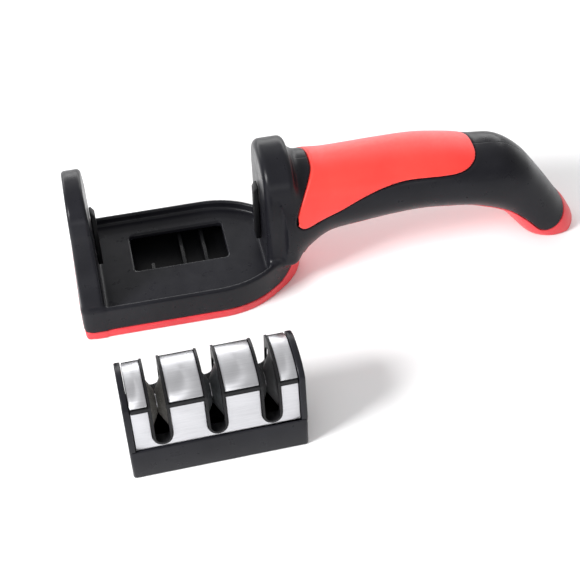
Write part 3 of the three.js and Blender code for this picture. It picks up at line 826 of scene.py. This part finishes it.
# core, band and fins, as one piece
core = loose("carrier_with_fins", prism([end_sheet(hood(STEEL_SEAT, BASE_TOP + GAP), -CORE_HALF, CORE_HALF)]))
band = [(-KINK_Y + BAND_INSET, KINK_Z - GAP), (KINK_Y - BAND_INSET, KINK_Z - GAP),
        (KINK_Y, KINK_Z - BAND_TALL), (-KINK_Y, KINK_Z - BAND_TALL)]
combine(core, prism([end_sheet(band, -CORE_HALF + BAND_INSET, CORE_HALF - BAND_INSET)]), "UNION")
for x in SLOTS:
    ring = loose("ring", prism([end_sheet(hood(0), x - METAL_GAP / 2 + GAP, x + METAL_GAP / 2 - GAP)]))
    notch = slot_outline(x, METAL_GAP / 2 - GAP, FIN_FLOOR)
    combine(ring, prism([side_sheet(notch, -FAR, FAR)]), "INTERSECT")
    form = bmesh.new()
    form.from_mesh(ring.data)
    bpy.data.objects.remove(ring)
    combine(core, form, "UNION")
for x in SLOTS:
    combine(core, prism([side_sheet(slot_outline(x, SLOT_WIDE / 2, SLOT_FLOOR), -FAR, FAR)]), "DIFFERENCE")
    combine(core, roller(x - POCKET_HALF, x + POCKET_HALF, POCKET_RADIUS), "DIFFERENCE")
place(finished(core, CARTRIDGE), "cartridge", "deep_black", "cartridge_frame")

panel_edges = [-CORE_HALF, *[x + s * METAL_GAP / 2 for x in SLOTS for s in (-1, 1)], CORE_HALF]
outer, inner = hood(FIN_PROUD, low=KINK_Z), hood(FIN_PROUD + STEEL_THICK, low=KINK_Z)
for i in range(4):
    panel = loose(f"steel_hood_{i + 1}", prism([
        end_sheet(outer + inner[::-1], panel_edges[2 * i], panel_edges[2 * i + 1])]))
    place(finished(panel, CARTRIDGE, 0.18), "cartridge", "steel", f"curved_panel_{i + 1}")

notch_floor = FIN_FLOOR - GAP
plate_low, plate_high = BASE_TOP + GAP, KINK_Z - BAND_TALL - GAP
plate_outline = [(-CORE_HALF, plate_low), (CORE_HALF, plate_low), (CORE_HALF, plate_high)]
for x in reversed(SLOTS):
    plate_outline += slot_outline(x, METAL_GAP / 2, notch_floor, plate_high)[::-1]
plate_outline.append((-CORE_HALF, plate_high))
plate_lean = (HALF_DEPTH - KINK_Y) / (KINK_Z - BASE_TOP)
for side, name in ((-1, "front"), (1, "back")):
    def face_at(depth, side=side):
        return lambda x, z: (x, side * (HALF_DEPTH - depth - plate_lean * (z - BASE_TOP)), z)
    faces = face_at(FIN_PROUD), face_at(FIN_PROUD + STEEL_THICK)
    plate = loose(f"steel_{name}", prism([(plate_outline, *faces)]))
    place(finished(plate, CARTRIDGE, 0.18), "cartridge", "steel", f"{name}_plate")


def rounded_ring(half_x, half_y, corner, steps=6):
    ring = []
    for sx, sy, start in ((1, 1, 0), (-1, 1, 90), (-1, -1, 180), (1, -1, 270)):
        for i in range(steps + 1):
            angle = math.radians(start + 90 * i / steps)
            ring.append((sx * (half_x - corner) + corner * math.cos(angle),
                         sy * (half_y - corner) + corner * math.sin(angle)))
    return ring


tray = loose("foot_tray", prism([(rounded_ring(HALF_LENGTH, HALF_DEPTH, 1.2), lambda x, y: (x, y, 0),
                                  lambda x, y: (x, y, BASE_TOP))]))
combine(tray, prism([box_sheet(-CHEEK_INNER, CHEEK_INNER, -HALF_DEPTH + TRAY_WALL, HALF_DEPTH - TRAY_WALL,
                               TRAY_WALL, BASE_TOP + 5)]), "DIFFERENCE")
for side in (-1, 1):
    combine(tray, prism([box_sheet(*sorted((side * (HALF_LENGTH - GROOVE_DEEP), side * (HALF_LENGTH + 1))),
                                   -GROOVE_WIDE / 2, GROOVE_WIDE / 2, -1, BASE_TOP + 1)]), "DIFFERENCE")
place(finished(tray, CARTRIDGE, 0.4, 3), "cartridge", "black_plastic", "cartridge_tray")

for side, name in ((-1, "left"), (1, "right")):
    ends = sorted((side * CHEEK_INNER, side * HALF_LENGTH))
    cheek = loose(f"cheek_{name}", prism([end_sheet(hood(0, BASE_TOP + GAP), *ends)]))
    combine(cheek, prism([box_sheet(*sorted((side * (HALF_LENGTH - GROOVE_DEEP), side * (HALF_LENGTH + 1))),
                                    -GROOVE_WIDE / 2, GROOVE_WIDE / 2, -1, GROOVE_TOP)]), "DIFFERENCE")
    place(finished(cheek, CARTRIDGE, 0.4, 3), "cartridge", "black_plastic", f"end_cheek_{name}")

AXLE_AT = CARTRIDGE @ Matrix.Translation((0, 0, AXLE_Z))
axle_half = CHEEK_INNER - GAP
axle = loose("stage_axle", turned([
    (0, -axle_half), (AXLE_RADIUS - 0.3, -axle_half), (AXLE_RADIUS, 0.3 - axle_half),
    (AXLE_RADIUS, axle_half - 0.3), (AXLE_RADIUS - 0.3, axle_half), (0, axle_half)], 40, "x"))
place(finished(axle, AXLE_AT), "cartridge", "screw_steel", "wheel_axle")

for x, stage in zip(SLOTS, STAGES):
    at = AXLE_AT @ Matrix.Translation((x, 0, 0))
    body, slot = f"{stage}_wheels", f"{stage}_abrasive"
    for side, name in ((-1, "left"), (1, "right")):
        land = WHEEL_CONE + WHEEL_LAND
        profile = [(WHEEL_BORE, GAP / 2), (WHEEL_VALLEY, GAP / 2), (WHEEL_VALLEY + 0.3, GAP / 2 + 0.1),
                   (WHEEL_RIM - 0.35, WHEEL_CONE - 0.3), (WHEEL_RIM, WHEEL_CONE), (WHEEL_RIM, land - 0.25),
                   (WHEEL_RIM - 0.25, land), (WHEEL_BORE, land)]
        wheel = loose(f"{stage}_cone_{name}", turned([(r, side * h) for r, h in profile], 96, "x"))
        place(finished(wheel, at), body, slot, f"{stage}_wheel_{name}")
    reach = WHEEL_CONE + WHEEL_LAND + 0.4
    sleeve = loose(f"{stage}_sleeve", turned([
        (SLEEVE_INNER, -reach), (SLEEVE_RADIUS - 0.2, -reach), (SLEEVE_RADIUS, 0.2 - reach),
        (SLEEVE_RADIUS, reach - 0.2), (SLEEVE_RADIUS - 0.2, reach), (SLEEVE_INNER, reach)], 48, "x"))
    place(finished(sleeve, at), body, "screw_steel", f"{stage}_wheel_sleeve")

# ---- floor, light and camera -----------------------------------------------------------------------
floor_form = bmesh.new()
bmesh.ops.create_grid(floor_form, x_segments=4, y_segments=4, size=3)
bmesh.ops.translate(floor_form, verts=floor_form.verts[:], vec=(0, 0, -0.0002))
floor = loose("floor", floor_form)
floor_look = Look("pale_floor", specular=0.1)
floor_look.color(floor_look.noise(3), (0.93, 0.93, 0.935), (0.95, 0.95, 0.955))
floor_look.rough(floor_look.noise(20), 0.8, 0.9)
floor.data.materials.append(floor_look.material)

world = bpy.data.worlds.new("studio")
world.use_nodes = True
world.node_tree.nodes["Background"].inputs["Color"].default_value = (1, 1, 1, 1)
world.node_tree.nodes["Background"].inputs["Strength"].default_value = 0.45
bpy.context.scene.world = world


def softbox(name, at, toward, size, power):
    light = bpy.data.lights.new(name, "AREA")
    light.shape, light.size, light.size_y, light.energy = "RECTANGLE", size[0], size[1], power
    lamp = bpy.data.objects.new(name, light)
    bpy.context.collection.objects.link(lamp)
    aim = Matrix.Translation(at)
    direction = (Matrix.Translation(toward).translation - aim.translation).normalized()
    lamp.matrix_world = aim @ direction.to_track_quat("-Z", "Y").to_matrix().to_4x4()


softbox("key", (-0.62, -0.28, 0.55), (0.03, -0.03, 0.02), (0.26, 0.26), 10.0)
softbox("back", (0.05, 0.95, 0.34), (0.05, 0.0, 0.03), (1.8, 0.34), 9.0)
softbox("front", (-0.1, -1.1, 0.36), (0.0, -0.05, 0.03), (1.4, 0.24), 3.0)
softbox("top", (0.1, 0.1, 1.3), (0.05, -0.03, 0.0), (2.6, 2.6), 5.0)

turn, tilt, roll = (math.radians(a) for a in (CAMERA_TURN, CAMERA_TILT, CAMERA_ROLL))
behind = np.array([-math.sin(turn) * math.cos(tilt), -math.cos(turn) * math.cos(tilt), math.sin(tilt)])
right = np.cross([0, 0, 1], behind)
right /= np.linalg.norm(right)
upward = np.cross(behind, right)
axis_x = math.cos(roll) * right - math.sin(roll) * upward
axis_y = math.sin(roll) * right + math.cos(roll) * upward
lens = bpy.data.cameras.new("camera")
lens.lens, lens.sensor_width, lens.sensor_fit = CAMERA_LENS, 36, "HORIZONTAL"
lens.clip_start, lens.clip_end = 0.01, 20
camera = bpy.data.objects.new("camera", lens)
bpy.context.collection.objects.link(camera)
rows = np.stack([axis_x, axis_y, behind, np.array(CAMERA_AT) * MM], 1)
camera.matrix_world = Matrix([*[list(r) for r in rows], [0, 0, 0, 1]])
bpy.context.scene.camera = camera
bpy.context.scene.view_settings.view_transform = "Standard"
